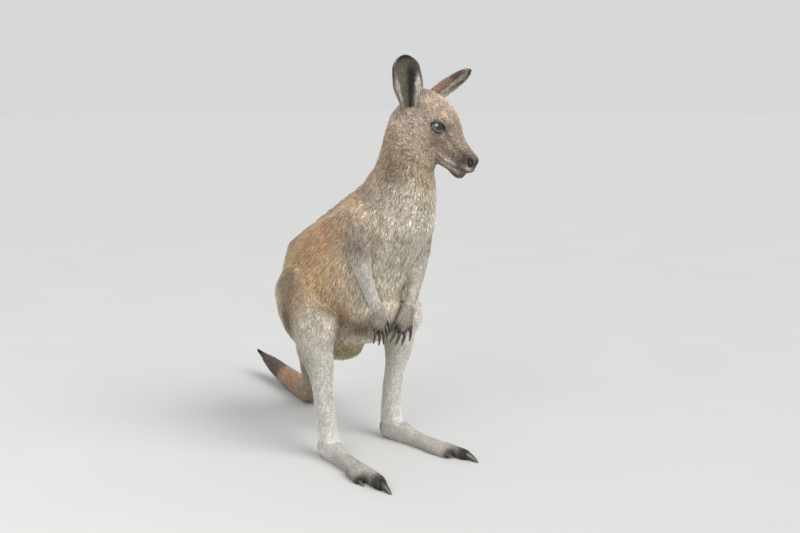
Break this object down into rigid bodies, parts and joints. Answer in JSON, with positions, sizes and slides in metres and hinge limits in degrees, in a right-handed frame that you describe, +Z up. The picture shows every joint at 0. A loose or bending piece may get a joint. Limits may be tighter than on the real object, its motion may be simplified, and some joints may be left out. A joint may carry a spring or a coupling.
{
  "type": "young grey kangaroo",
  "caption": "Young grey kangaroo standing upright on long hind feet, its thick tail laid back on the ground as a prop, arms hanging and head turned to its left.",
  "frame": {"origin": "on the ground, under the middle of the animal's bounding box", "axes": "+Z up, the body faces -Y, its left side is +X, and the tail runs back along +Y"},
  "size_m": [0.3494, 0.9318, 0.8567],
  "materials": {
    "back_fur": "dense grey-brown fur, matte",
    "pale_fur": "short pale grey fur, matte",
    "dark_fur": "short dark brown fur, matte",
    "eye": "wet, near-black brown",
    "claw": "smooth black horn"
  },
  "bodies": {
    "root": {"rump": "back_fur", "belly": "back_fur", "chest": "back_fur", "neck": "back_fur", "head": "back_fur", "tail_base": "back_fur", "tail_middle": "back_fur", "tail_tip": "dark_fur", "eye_left": "eye", "ear_left": "back_fur", "thigh_left": "pale_fur", "shank_left": "pale_fur", "foot_left": "pale_fur", "toe_fourth_left": "dark_fur", "toe_fifth_left": "dark_fur", "claw_fourth_left": "claw", "claw_fifth_left": "claw", "claw_third_left": "claw", "claw_second_left": "claw", "upper_arm_left": "back_fur", "forearm_left": "pale_fur", "hand_left": "dark_fur", "finger_claw_1_left": "claw", "finger_claw_2_left": "claw", "finger_claw_3_left": "claw", "finger_claw_4_left": "claw", "finger_claw_5_left": "claw", "eye_right": "eye", "ear_right": "back_fur", "thigh_right": "pale_fur", "shank_right": "pale_fur", "foot_right": "pale_fur", "toe_fourth_right": "dark_fur", "toe_fifth_right": "dark_fur", "claw_fourth_right": "claw", "claw_fifth_right": "claw", "claw_third_right": "claw", "claw_second_right": "claw", "upper_arm_right": "back_fur", "forearm_right": "pale_fur", "hand_right": "dark_fur", "finger_claw_1_right": "claw", "finger_claw_2_right": "claw", "finger_claw_3_right": "claw", "finger_claw_4_right": "claw", "finger_claw_5_right": "claw"}
  },
  "joints": []
}
